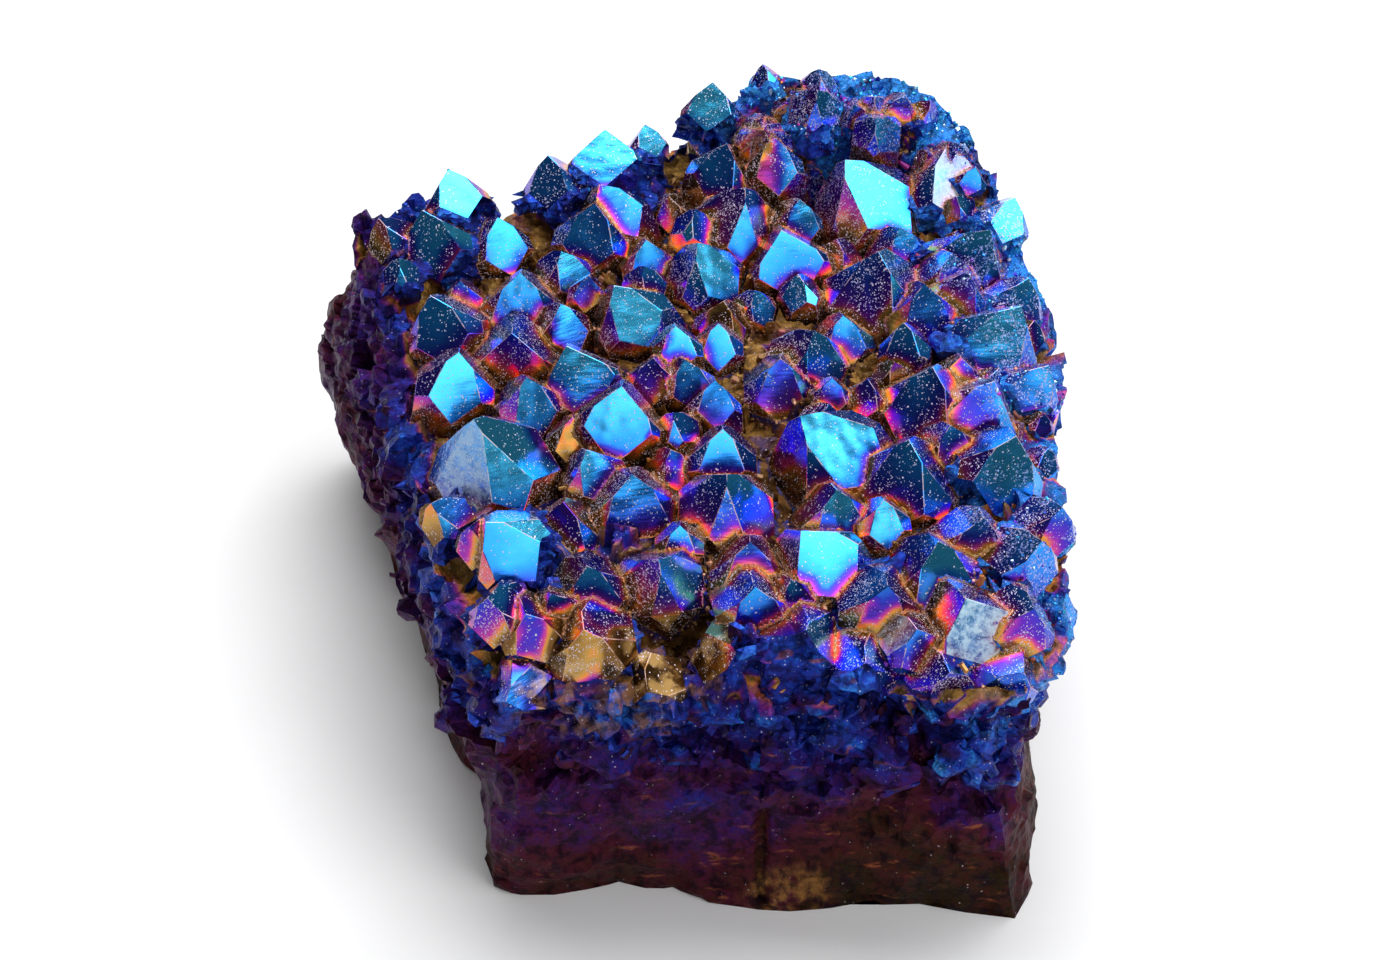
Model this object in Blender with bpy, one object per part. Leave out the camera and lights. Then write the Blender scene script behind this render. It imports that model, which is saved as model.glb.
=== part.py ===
"""A metal-coated "aura" quartz cluster: a broken block of geode wall, crystals up.

The whole specimen grew as one piece, so it is one solid. A rough block of wall rock
carries a druse of six-sided quartz points, each a hexagonal prism cut by its six end
faces. Chips and ledges stand out of the block's broken sides, and a granular crust of
tiny points follows its back right rim. Everything is fused into one object, which rests
on a flat broken underside.

X runs along the front of the block, Y away from the front, Z up. Lengths in the tables
are millimetres, angles are degrees, and the last step moves the finished cluster so that
its origin is at the middle of its underside.
"""

import math
import random
from typing import NamedTuple

import bmesh
import bpy
from mathutils import Matrix, Vector, noise

MM = 0.001
SEED = 7

# ---- driving dimensions: the block ---------------------------------------------------

DRUSE_FLOOR = 32.5  # the rock between the crystals, above the underside
WAIST_HEIGHT = 15.0
CENTRE = Vector((0.0, 40.0))  # the walls are measured outward from this point
AROUND = 90  # points in each ring round the walls
COURSES = (0, 0.2, 0.38, 0.5, 0.6, 0.7, 0.8, 0.9, 1.0)  # how far up the walls each ring is
FLOOR_RINGS = [(0.93, 72), (0.86, 54), (0.76, 36), (0.5, 24), (0.25, 12)]  # how far out, how many points

# What stands out of the walls: how wide each kind of unevenness is and how high.
LUMP_WIDTH, LUMP_HEIGHT = 13.0, 2.2
CHIP_WIDTH, SMOOTH_CHIP_HEIGHT, ROUGH_CHIP_HEIGHT = 7.5, 1.2, 4.1
GRAIN_WIDTH, GRAIN_HEIGHT = 4.0, 1.2
ROUGH_BAND = (0.38, 0.62)  # the walls turn from smooth to rough between these shares of their height
OVERHANG = 0.4  # how far the rough part stands out over the smooth part
RIM_RELIEF = 0.6  # how much of the relief is left at the rim

FLOOR_WAVE_WIDTH, FLOOR_WAVE_HEIGHT = 6.0, 1.3
RIM_RISE_START = 0.78  # how far out the floor starts to rise to the rim
RIM_SINK = 0.5  # how much lower the finished rim is than its corners

# Corners of the block, anticlockwise seen from above, starting at the front left.
FOOT = [(-21, -0.5), (-9, -1), (0, -1.5), (9, -2.5), (25, -4), (32, -4), (34.5, 0), (36, 13),
        (35, 30), (34, 50), (31, 68), (20, 77), (0, 76), (-16, 70), (-34, 70), (-41, 68),
        (-39, 57), (-34.5, 40), (-27.5, 21), (-22.5, 10)]
WAIST = [(-20, -0.5), (0, 0), (14, -0.5), (30, 0), (33, 4), (34, 12), (35, 30), (36, 46), (35, 62),
         (32, 74), (20, 81), (0, 79), (-14, 72), (-28, 71), (-38, 74), (-46, 69), (-43, 57),
         (-35.5, 40), (-27.5, 20), (-22.5, 6)]
RIM = [(-20, 1, 30), (-9, 0, 30), (-2, 1, 27), (4, 0, 29), (18, -1, 30), (31, -1, 31), (34, 2, 31),
       (36, 11, 32), (36, 24, 32), (37, 38, 32), (39, 46, 32), (38, 56, 33), (36, 63, 36),
       (34, 70, 39), (31, 78, 42), (26, 82, 44), (17, 84, 45), (9, 85, 45), (4, 83, 42),
       (-2, 82, 37), (-9, 79, 37), (-16, 74, 36), (-21, 70, 35), (-24, 68, 33), (-27, 71, 35),
       (-32, 71, 37), (-38, 66, 37), (-38, 57, 35), (-33, 45, 32), (-29, 30, 31), (-26, 14, 31)]
PITS = [(21.5, 74.5, 5.5, 6), (-1, 6, 5, 2), (15, 31, 5, 2), (-14, 27, 4, 2)]  # x, y, radius, depth

# ---- driving dimensions: the crystals ------------------------------------------------

END_FACE_SLOPE = 51.8  # between an end face's normal and the crystal's long axis
USUAL_LENGTH = (6.0, 0.9)  # a crystal's length in millimetres and further in widths
TOP_OFFCUT = 0.5  # the uncut prism reaches this far above where the tip will be
BROAD_FACE_SPREAD = 0.1  # how unequally the three broad end faces are cut, in half widths
ROOT_SPREAD = 1.25  # a crystal's width at its root over its width above, in the middle
RIM_ROOT_SPREAD = 0.85  # and on the rim, where it is rooted in the edge of the rock
RIM_FLARE = 14.0  # how much further outward the crystals on the rim lean
RIM_BELT = (0.7, 0.95)  # the middle ends and the rim begins, as shares of the way out


class Crystal(NamedTuple):
    """One quartz point: where its tip is, its width across flats and how it stands."""

    x: float
    y: float
    z: float
    width: float
    turn: float  # the way one of its three broad end faces looks: 0 is -Y, 90 is +X
    lean: float = 6.0  # tilt of its long axis from vertical
    lean_to: float = 0.0  # the way it leans, measured as turn is
    edge: float = 0.14  # how far out its three lesser end faces are, in half widths
    length: float = 0.0  # from its tip to its root, or 0 for the usual length


BACK_ROW = [
    Crystal(1.5, 84.5, 44.5, 7.5, -10, 6, 180),
    Crystal(3.4, 74.6, 42.0, 7.5, -25, 10, 60),
    Crystal(-11.3, 76.5, 43.0, 9.0, 0, 12, 180, 0.3),
    Crystal(-17.5, 72.9, 41.5, 7.5, -15, 6, -60, 0.15),
    Crystal(-6.5, 80.4, 41.0, 5.0, 30, 10, 180),
    Crystal(-11.5, 67.4, 41.5, 7.5, 40, 14, -90),
    Crystal(-11.8, 64.4, 41.0, 8.0, -10, 8, 30),
    Crystal(5.0, 66.9, 41.5, 9.0, -55, 8, 60, 0.08),
    Crystal(11.5, 67.0, 39.5, 5.5, 20, 10, 60),
    Crystal(8.5, 74.2, 43.0, 6.5, 10),
    Crystal(16.6, 70.4, 42.5, 10.5, 45, 20, -80, 0.12),
    Crystal(28.5, 73.2, 43.0, 10.5, 25, 8, -60, 0.12),
]
LEFT_RIM = [
    Crystal(-29.0, 70.5, 41.5, 8.0, 25, 12, 180),
    Crystal(-31.5, 63.5, 40.5, 9.0, 5, 8, -60),
    Crystal(-26.5, 70.0, 39.5, 5.0, 20, 10, 150),
    Crystal(-23.0, 64.5, 39.0, 7.0, 30, 8, 60),
    Crystal(-36.5, 64.0, 39.0, 6.5, -30, 15, -100),
    Crystal(-26.5, 54.2, 37.5, 4.5, 0),
    Crystal(-29.3, 49.4, 39.5, 8.5, 0, 12, -90),
    Crystal(-19.8, 53.4, 39.5, 8.5, 0, 5, 0),
    Crystal(-15.3, 48.7, 38.5, 6.0, 30),
    Crystal(-20.0, 42.6, 39.0, 8.5, 0, 22, 0, 0.3),
    Crystal(-25.0, 38.6, 40.0, 8.0, 0, 16, 70),
    Crystal(-18.0, 36.2, 38.5, 6.5, 20),
    Crystal(-22.5, 25.4, 42.0, 11.5, -30, 5, -60, 0.06),
    Crystal(-26.5, 17.8, 37.5, 5.5, -40, 16, -90),
    Crystal(-22.5, 14.4, 37.5, 5.5, -30, 14, -60),
    Crystal(-21.0, 12.8, 39.5, 8.5, 30, 20, -80),
    Crystal(-14.0, 5.6, 37.0, 4.5, 30),
    Crystal(-20.0, 4.8, 37.5, 6.5, -20, 12, -60),
    Crystal(-16.5, 3.3, 37.0, 7.0, 20, 12, 0),
]
MIDDLE = [
    Crystal(-9.5, 49.5, 40.5, 8.0, 30, 20, -70),
    Crystal(-0.5, 58.6, 39.5, 8.0, 50, 8, -60, 0.12),
    Crystal(9.0, 59.8, 40.5, 8.0, 10, 12, -60, 0.3),
    Crystal(2.0, 45.7, 38.0, 5.0, 0),
    Crystal(-14.2, 40.0, 40.0, 8.0, 12, 14, -90, 0.3),
    Crystal(-7.8, 31.9, 41.0, 8.0, -5, 6, 60, 0.3),
    Crystal(-5.0, 39.5, 38.5, 5.5, -10),
    Crystal(-1.5, 39.2, 38.5, 5.5, 20),
    Crystal(-6.8, 20.4, 39.0, 8.5, 10, 10, 0),
    Crystal(-11.5, 25.2, 38.0, 6.0, 30, 10, -60),
    Crystal(-13.0, 31.0, 37.5, 5.5, 0),
    Crystal(2.2, 26.9, 39.5, 6.5, 0, 5, 0),
    Crystal(2.6, 19.2, 40.5, 8.5, -60, 8, 0, 0.06),
    Crystal(9.9, 26.5, 41.5, 10.5, 60, 24, -80, 0.12),
    Crystal(8.5, 39.2, 38.5, 7.0, 0, 10, 0),
    Crystal(12.0, 42.9, 39.5, 8.0, 40, 8, 60),
    Crystal(13.8, 36.5, 38.0, 4.0, 0),
    Crystal(17.6, 36.4, 38.0, 4.5, -20),
    Crystal(20.5, 40.0, 37.5, 4.0, 30),
    Crystal(19.8, 54.4, 41.5, 11.0, -25, 6, 0, 0.12),
    Crystal(24.5, 51.0, 39.5, 7.5, 15, 8, 30),
    Crystal(24.0, 35.5, 40.5, 9.0, -25, 6, 0, 0.12),
    Crystal(28.0, 57.0, 39.5, 6.5, 20, 8, 30),
    Crystal(29.5, 54.1, 39.0, 6.5, -20, 10, 30),
    Crystal(22.5, 62.5, 39.0, 6.0, 30),
    Crystal(2.5, 50.5, 37.5, 5.5, -20),
    Crystal(6.0, 53.0, 37.0, 4.5, 40),
    Crystal(15.5, 47.5, 38.0, 6.0, 10),
    Crystal(15.5, 61.5, 38.0, 5.5, -30),
    Crystal(-6.0, 61.5, 38.0, 6.0, 15),
    Crystal(-15.5, 58.5, 38.5, 6.0, 40),
    Crystal(-13.5, 18.0, 37.5, 6.5, -10),
    Crystal(-3.0, 26.5, 37.0, 5.0, 30),
]
RIGHT_RIM = [
    Crystal(32.5, 60.5, 40.0, 9.5, -35, 12, 60),
    Crystal(34.5, 46.5, 40.0, 10.0, -20, 12, 70),
    Crystal(27.5, 39.6, 38.5, 6.5, 0),
    Crystal(30.5, 34.1, 39.5, 8.5, -20, 10, 60),
    Crystal(32.0, 24.7, 40.5, 9.5, 0, 8, 60),
    Crystal(25.2, 27.4, 39.5, 6.5, 20),
    Crystal(21.0, 23.4, 41.0, 9.5, -25, 6, 0, 0.1),
    Crystal(18.0, 17.2, 38.5, 5.0, 10),
    Crystal(13.3, 18.4, 39.0, 7.0, 15, 8, 0),
    Crystal(27.5, 14.5, 39.0, 8.0, 0, 10, 30),
    Crystal(33.0, 11.5, 38.5, 7.5, 30, 14, 60),
    Crystal(22.5, 10.4, 39.5, 9.0, 20, 8, 0),
    Crystal(36.5, 54.0, 38.0, 7.0, 10, 12, 80),
    Crystal(37.0, 39.5, 37.5, 6.5, -15, 12, 80),
    Crystal(36.0, 18.0, 37.0, 6.5, 20, 12, 80),
    Crystal(36.0, 66.0, 40.5, 6.5, 0, 12, 80),
]
FRONT_ROW = [
    Crystal(-3.9, 9.2, 38.5, 8.0, -50, 12, 0, 0.1),
    Crystal(-11.0, 8.6, 38.0, 7.5, 20, 10, 0),
    Crystal(-2.0, 14.8, 37.5, 4.5, 0),
    Crystal(5.0, 11.3, 38.5, 7.5, 0, 8, 0),
    Crystal(9.5, 11.8, 39.5, 8.0, 40, 20, -70, 0.25),
    Crystal(5.3, 5.8, 38.0, 8.0, 10, 12, 0),
    Crystal(8.6, 7.6, 37.0, 5.0, 30),
    Crystal(17.5, 5.4, 38.5, 8.0, 0, 12, 0),
    Crystal(20.5, 1.6, 36.5, 6.5, 25, 14, 0),
    Crystal(25.0, 3.6, 38.5, 8.5, 25, 14, -60, 0.3),
    Crystal(31.5, 3.5, 37.5, 7.5, 0, 14, 30),
]
ROCKY_FRONT = [  # stubby points and chunks that break the front edge of the druse
    Crystal(-11.0, 1.6, 36.5, 9.5, 10, 16, 0, 0.1),
    Crystal(10.0, 1.0, 36.5, 9.0, -20, 14, 0, 0.1),
    Crystal(3.5, 0.0, 34.5, 8.0, 30, 24, 0, 0.1),
    Crystal(15.5, -0.8, 34.5, 8.0, 0, 25, 0, 0.1),
    Crystal(23.5, -1.4, 33.5, 8.0, 20, 35, 0),
    Crystal(30.5, -1.0, 33.0, 7.5, -10, 35, 20),
    Crystal(-5.0, -1.6, 31.0, 6.5, 10, 40, -10),
    Crystal(-18.5, -2.2, 30.0, 7.0, -20, 50, -20),
    Crystal(5.0, -3.2, 28.5, 8.0, 15, 60, 0, 0.3),
    Crystal(12.5, -3.8, 26.0, 9.5, 0, 65, 0, 0.3),
    Crystal(20.5, -3.2, 28.0, 8.0, 30, 60, 0),
    Crystal(27.5, -4.0, 22.0, 7.5, 20, 70, 0),
]
CRYSTALS = BACK_ROW + LEFT_RIM + MIDDLE + RIGHT_RIM + FRONT_ROW + ROCKY_FRONT

FILLER_TRIES = 1400  # small points grow wherever the table above leaves room
FILLER_WIDTHS = (4.0, 6.2)
FILLER_STAND = (0.2, 2.2)  # how far a tip stands above the rock beyond its own width
FILLER_MARGIN = 2.0  # the bare edge outside them
FILLER_LEAN = 0.6  # how far they lean from upright towards square to the rock
PACKING = 0.94  # how near neighbours may come, over the mean of their widths
BURIED = 3.0  # how far a small point's root is below the rock
CRUST_STRETCHES = [(-30, 25, 8), (32, 46, 6), (46, 80, 16), (80, 94, 4)]  # degrees from and to, how many
CRUST_BAND = (0.5, 8.0)  # how far in from the rim
CRUST_WIDTHS = (3.0, 5.0)
CRUST_STAND = (0.5, 0.9)  # how far a tip stands above the rock, in widths
CRUST_LEAN = 0.8


# ---- helpers -------------------------------------------------------------------------


def smooth_step(low, high, value):
    """0 at low and 1 at high, easing between; low may be the larger."""
    share = min(max((value - low) / (high - low), 0.0), 1.0)
    return share * share * (3 - 2 * share)


def heading(degrees):
    """A level unit vector: 0 looks to the front (-Y), 90 to the right (+X)."""
    angle = math.radians(degrees)
    return Vector((math.sin(angle), -math.cos(angle), 0.0))


def new_object(name, bm, collection):
    mesh = bpy.data.meshes.new(name)
    bm.to_mesh(mesh)
    bm.free()
    obj = bpy.data.objects.new(name, mesh)
    collection.objects.link(obj)
    return obj


def cut_flat(bm, point, normal):
    """Slices off what lies beyond a plane and closes the cut with one flat face."""
    cut = bmesh.ops.bisect_plane(
        bm, geom=bm.verts[:] + bm.edges[:] + bm.faces[:], dist=1e-5,
        plane_co=point, plane_no=normal, clear_outer=True)
    edges = [item for item in cut["geom_cut"] if isinstance(item, bmesh.types.BMEdge)]
    if len(edges) > 2:
        bmesh.ops.contextual_create(bm, geom=edges)


# ---- the block of wall rock ----------------------------------------------------------


def outline_point(corners, direction):
    """Where a ray from the block's centre meets an outline, with the corners' other values."""
    for start, end in zip(corners, corners[1:] + corners[:1]):
        ax, ay = start[0] - CENTRE.x, start[1] - CENTRE.y
        bx, by = end[0] - start[0], end[1] - start[1]
        across = direction.x * by - direction.y * bx
        if abs(across) < 1e-9:
            continue
        reach = (ax * by - ay * bx) / across
        along = (ax * direction.y - ay * direction.x) / across
        if reach > 0 and -1e-9 <= along <= 1 + 1e-9:
            return reach, [a + (b - a) * along for a, b in zip(start[2:], end[2:])]
    raise ValueError("the corners do not go round the centre")


def chip(point, size):
    """Height of a broken surface made of tilted flat chips, about -0.5 to 0.5."""
    spot = point / size
    nearest = noise.voronoi(spot)[1][0]
    tilt = Vector([noise.noise(nearest * 3.7 + Vector((9.0 * axis, 0, 0))) for axis in range(3)])
    return noise.noise(nearest * 5.3) * 0.8 + tilt.dot(spot - nearest) * 1.2


def wall_relief(point, share):
    """How far the broken wall stands out at a point, share of the way up."""
    rough = smooth_step(*ROUGH_BAND, share)
    lumps = noise.noise(point / LUMP_WIDTH) * LUMP_HEIGHT
    chips = chip(point, CHIP_WIDTH) * (SMOOTH_CHIP_HEIGHT * (1 - rough) + ROUGH_CHIP_HEIGHT * rough)
    grain = noise.noise(point / GRAIN_WIDTH) * GRAIN_HEIGHT * rough
    left = 1 - (1 - RIM_RELIEF) * smooth_step(0.85, 1, share)
    return (lumps + chips + grain) * left + OVERHANG * rough


def floor_height(spot, rim_height, span):
    """The rock under the crystals: an uneven floor that rises to the rim."""
    rise = smooth_step(RIM_RISE_START, 1.0, span)
    height = DRUSE_FLOOR * (1 - rise) + (rim_height - RIM_SINK) * rise
    height += noise.noise(Vector((spot.x, spot.y, 0)) / FLOOR_WAVE_WIDTH) * FLOOR_WAVE_HEIGHT
    for x, y, radius, depth in PITS:
        height -= depth * smooth_step(radius, radius / 3, math.hypot(spot.x - x, spot.y - y))
    return height


def wall_point(direction, share):
    """A point on the broken wall, share of the way up from the foot to the rim."""
    foot, _ = outline_point(FOOT, direction)
    waist, _ = outline_point(WAIST, direction)
    rim, (rim_height,) = outline_point(RIM, direction)
    height = share * rim_height
    if height < WAIST_HEIGHT:
        reach = foot + (waist - foot) * height / WAIST_HEIGHT
    else:
        reach = waist + (rim - waist) * (height - WAIST_HEIGHT) / (rim_height - WAIST_HEIGHT)
    smooth_spot = CENTRE + direction * reach
    smooth_point = Vector((smooth_spot.x, smooth_spot.y, height))
    spot = smooth_spot + direction * wall_relief(smooth_point, share)
    if share == 1:
        height = floor_height(smooth_spot, rim_height, 1.0)
    return Vector((spot.x, spot.y, height))


def floor_point(direction, span):
    """A point on the rock under the crystals, span of the way out to the rim."""
    rim, (rim_height,) = outline_point(RIM, direction)
    spot = CENTRE + direction * rim * span
    return Vector((spot.x, spot.y, floor_height(spot, rim_height, span)))


def ring(bm, count, place):
    """A closed loop of edges, each point put where place says for its direction."""
    verts = bmesh.ops.create_circle(bm, cap_ends=False, radius=1, segments=count)["verts"]
    for vert in verts:
        vert.co = place(Vector((vert.co.x, vert.co.y)))
    return [edge for edge in bm.edges if edge.verts[0] in verts and edge.verts[1] in verts]


def rock_mesh():
    """Rings up the walls and then inward over the floor, lofted and closed."""
    bm = bmesh.new()
    rings = []
    for share in COURSES:
        rings.append(ring(bm, AROUND, lambda way: wall_point(way, share)))
    for span, count in FLOOR_RINGS:
        rings.append(ring(bm, count, lambda way: floor_point(way, span)))
    for lower, upper in zip(rings, rings[1:]):
        bmesh.ops.bridge_loops(bm, edges=lower + upper)
    bmesh.ops.contextual_create(bm, geom=rings[0])
    bmesh.ops.contextual_create(bm, geom=rings[-1])
    bmesh.ops.recalc_face_normals(bm, faces=bm.faces)
    return bm


# ---- the crystals --------------------------------------------------------------------


def crystal_mesh(crystal, root_spread, rng):
    """A hexagonal prism under three broad and three lesser end faces, its tip at the origin."""
    half = crystal.width / 2
    length = crystal.length or USUAL_LENGTH[0] + crystal.width * USUAL_LENGTH[1]
    corner = half / math.cos(math.pi / 6)
    foot = corner * root_spread
    bm = bmesh.new()
    bmesh.ops.create_cone(
        bm, cap_ends=True, segments=6, depth=length, radius1=foot, radius2=corner,
        matrix=Matrix.Translation((0, 0, TOP_OFFCUT - length / 2))
        @ Matrix.Rotation(math.radians(crystal.turn), 4, "Z"))
    slope = math.radians(END_FACE_SLOPE)
    for side in range(6):
        normal = heading(crystal.turn + 60 * side) * math.sin(slope)
        normal.z = math.cos(slope)
        lesser = side % 2
        set_out = half * (crystal.edge if lesser else -rng.uniform(0, BROAD_FACE_SPREAD))
        cut_flat(bm, normal * set_out, normal)
    return bm


def grow(name, crystal, rng, collection):
    offset = Vector((crystal.x, crystal.y)) - CENTRE
    direction = offset.normalized()
    rim, _ = outline_point(RIM, direction)
    near_rim = smooth_step(*RIM_BELT, offset.length / rim)
    bm = crystal_mesh(crystal, ROOT_SPREAD + (RIM_ROOT_SPREAD - ROOT_SPREAD) * near_rim, rng)
    lean = heading(crystal.lean_to) * crystal.lean + Vector((*direction, 0)) * RIM_FLARE * near_rim
    hinge = Vector((0, 0, 1)).cross(lean)
    place = Matrix.Translation((crystal.x, crystal.y, crystal.z))
    place = place @ Matrix.Rotation(math.radians(lean.length), 4, hinge)
    bmesh.ops.transform(bm, matrix=place, verts=bm.verts)
    point = new_object(name, bm, collection)
    point.hide_render = True
    point.display_type = "WIRE"


def ground(spot):
    """Height of the rock at a place in the druse, and the way its surface faces."""

    def height(place):
        offset = place - CENTRE
        rim, (rim_height,) = outline_point(RIM, offset.normalized())
        return floor_height(place, rim_height, min(offset.length / rim, 1.0))

    here, step = height(spot), 1.5
    slope_x = height(spot + Vector((step, 0))) - here
    slope_y = height(spot + Vector((0, step))) - here
    return here, Vector((-slope_x, -slope_y, step)).normalized()


def point_on_rock(spot, width, stand, share, turn):
    """A small point with its tip stand above the rock, leaning a share of the way square to it."""
    here, normal = ground(spot)
    tip = Vector((spot.x, spot.y, here)) + normal * stand
    lean = math.degrees(math.acos(normal.z)) * share
    lean_to = math.degrees(math.atan2(normal.x, -normal.y))
    return Crystal(tip.x, tip.y, tip.z, width, turn, lean, lean_to, length=stand + BURIED)


def fillers(rng):
    """Small points wherever the large ones leave room, never closer than they fit."""
    grown = list(CRYSTALS)
    for _ in range(FILLER_TRIES):
        angle = rng.uniform(0, 2 * math.pi)
        direction = Vector((math.cos(angle), math.sin(angle)))
        rim, _ = outline_point(RIM, direction)
        spot = CENTRE + direction * (rim - FILLER_MARGIN) * math.sqrt(rng.random())
        width = rng.uniform(*FILLER_WIDTHS)
        stand = width + rng.uniform(*FILLER_STAND)
        turn = rng.uniform(0, 120)
        if all(math.hypot(spot.x - c.x, spot.y - c.y) > (c.width + width) / 2 * PACKING for c in grown):
            grown.append(point_on_rock(spot, width, stand, FILLER_LEAN, turn))
    return grown[len(CRYSTALS):]


def crust(rng):
    """Tiny points standing square to the rock, packed along stretches of the rim."""
    for start, end, count in CRUST_STRETCHES:
        for number in range(count):
            angle = math.radians(start + (end - start) * (number + rng.random()) / count)
            direction = Vector((math.cos(angle), math.sin(angle)))
            rim, _ = outline_point(RIM, direction)
            spot = CENTRE + direction * (rim - rng.uniform(*CRUST_BAND))
            width = rng.uniform(*CRUST_WIDTHS)
            stand = width * rng.uniform(*CRUST_STAND)
            yield point_on_rock(spot, width, stand, CRUST_LEAN, rng.uniform(0, 120))


# ---- materials and assembly ----------------------------------------------------------


def aura_material():
    material = bpy.data.materials.new("aura_coating")
    material.use_nodes = True
    shader = material.node_tree.nodes["Principled BSDF"]
    shader.inputs["Base Color"].default_value = (0.02, 0.12, 0.55, 1.0)
    shader.inputs["Metallic"].default_value = 0.9
    shader.inputs["Roughness"].default_value = 0.25
    return material


def outer_skin(bm):
    """Deletes every closed pocket inside the rock, which leaves the one outer skin."""
    waiting = set(bm.verts)
    skins = []
    while waiting:
        skin, edge_of_skin = set(), [next(iter(waiting))]
        while edge_of_skin:
            vert = edge_of_skin.pop()
            if vert in waiting:
                waiting.remove(vert)
                skin.add(vert)
                edge_of_skin += [edge.other_vert(vert) for edge in vert.link_edges]
        skins.append(skin)
    largest = max(skins, key=len)
    inner = [vert for vert in bm.verts if vert not in largest]
    bmesh.ops.delete(bm, geom=inner, context="VERTS")


def fused(rock):
    """The block and its crystals as one closed mesh."""
    bpy.context.view_layer.update()
    mesh = bpy.data.meshes.new_from_object(rock.evaluated_get(bpy.context.evaluated_depsgraph_get()))
    bm = bmesh.new()
    bm.from_mesh(mesh)
    bmesh.ops.remove_doubles(bm, verts=bm.verts, dist=0.02)
    bmesh.ops.dissolve_degenerate(bm, dist=0.01, edges=bm.edges)
    bmesh.ops.dissolve_limit(bm, angle_limit=math.radians(0.5), verts=bm.verts, edges=bm.edges)
    outer_skin(bm)
    return bm


def build():
    for obj in list(bpy.data.objects):
        bpy.data.objects.remove(obj)
    rng = random.Random(SEED)
    specimen = bpy.data.collections.new("aura_quartz_cluster")
    growing = bpy.data.collections.new("growing_crystals")
    for collection in (specimen, growing):
        bpy.context.scene.collection.children.link(collection)
    rock = new_object("wall_rock", rock_mesh(), specimen)
    points = CRYSTALS + fillers(rng) + list(crust(rng))
    for number, crystal in enumerate(points):
        grow(f"crystal_{number:03d}", crystal, rng, growing)
    union = rock.modifiers.new("crystals", "BOOLEAN")
    union.operation = "UNION"
    union.operand_type = "COLLECTION"
    union.collection = growing
    bm = fused(rock)
    for obj in list(bpy.data.objects):
        bpy.data.objects.remove(obj)
    bmesh.ops.scale(bm, vec=(MM, MM, MM), verts=bm.verts)
    lows = [min(vert.co[axis] for vert in bm.verts) for axis in range(3)]
    highs = [max(vert.co[axis] for vert in bm.verts) for axis in range(3)]
    middle = Vector([(low + high) / 2 for low, high in zip(lows, highs)])
    bmesh.ops.translate(bm, vec=(-middle.x, -middle.y, -lows[2]), verts=bm.verts)
    cluster = new_object("quartz_cluster", bm, specimen)
    cluster.data.materials.append(aura_material())


build()
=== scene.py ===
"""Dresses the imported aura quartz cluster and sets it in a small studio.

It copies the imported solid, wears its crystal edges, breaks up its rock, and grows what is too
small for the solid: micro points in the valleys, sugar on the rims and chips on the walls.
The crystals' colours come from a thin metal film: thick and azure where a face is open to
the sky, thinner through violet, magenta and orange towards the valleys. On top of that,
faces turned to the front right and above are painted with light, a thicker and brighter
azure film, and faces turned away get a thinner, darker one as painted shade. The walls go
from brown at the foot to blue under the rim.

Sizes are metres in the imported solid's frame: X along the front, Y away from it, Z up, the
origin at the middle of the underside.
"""

import math
import random

import bmesh
import bpy
from bpy.props import FloatProperty, FloatVectorProperty, IntProperty, PointerProperty
from mathutils import Matrix, Vector, noise
from mathutils.bvhtree import BVHTree
from mathutils.kdtree import KDTree


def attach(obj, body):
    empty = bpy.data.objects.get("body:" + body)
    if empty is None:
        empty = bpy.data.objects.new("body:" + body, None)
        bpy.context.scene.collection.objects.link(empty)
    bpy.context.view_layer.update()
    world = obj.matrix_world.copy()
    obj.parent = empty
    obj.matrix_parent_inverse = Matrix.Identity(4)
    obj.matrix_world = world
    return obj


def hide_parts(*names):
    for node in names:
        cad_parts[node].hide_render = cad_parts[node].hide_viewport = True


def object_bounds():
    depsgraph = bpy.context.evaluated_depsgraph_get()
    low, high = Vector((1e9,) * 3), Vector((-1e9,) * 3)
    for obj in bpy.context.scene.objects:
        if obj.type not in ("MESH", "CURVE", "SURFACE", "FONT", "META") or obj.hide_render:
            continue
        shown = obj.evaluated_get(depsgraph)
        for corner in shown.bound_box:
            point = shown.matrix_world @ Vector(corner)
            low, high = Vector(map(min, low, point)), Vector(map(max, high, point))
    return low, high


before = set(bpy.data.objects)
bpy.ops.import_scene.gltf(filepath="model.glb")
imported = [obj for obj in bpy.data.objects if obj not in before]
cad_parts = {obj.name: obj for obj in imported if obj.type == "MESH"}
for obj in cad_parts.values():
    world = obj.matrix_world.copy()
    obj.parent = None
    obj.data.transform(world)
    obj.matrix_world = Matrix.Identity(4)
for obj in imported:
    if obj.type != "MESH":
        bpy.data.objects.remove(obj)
CAD_BOX = [list(corner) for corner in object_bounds()]

bl_info = {
    "name": "Aura Quartz Cluster",
    "version": (1, 0),
    "blender": (4, 5, 0),
    "location": "3D View > Sidebar > Aura Quartz",
    "description": "Dresses a packed quartz cluster with a rainbow metal film",
    "category": "Object",
}

NODE = "quartz_cluster"
BODY = "root"
MM = 0.001

# ---- helpers ------------------------------


def ease(low, high, value):
    """0 at low and 1 at high, easing between; low may be the larger."""
    part = min(max((value - low) / (high - low), 0.0), 1.0)
    return part * part * (3 - 2 * part)


def direction(azimuth, elevation):
    """A unit vector, from two angles in radians: azimuth 0 is the front, and it grows to the right."""
    level = math.cos(elevation)
    return Vector((math.sin(azimuth) * level, -math.cos(azimuth) * level, math.sin(elevation)))


def height_share(point):
    return point.z / CAD_BOX[1][2]


def noise_at(point, size):
    """Soft noise, about -1 to 1, whose lumps are about size wide."""
    return noise.noise(point / size)


def in_box(place):
    """The same place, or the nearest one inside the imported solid's box."""
    lows, highs = CAD_BOX
    return [min(max(place[axis], lows[axis]), highs[axis]) for axis in range(3)]


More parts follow.
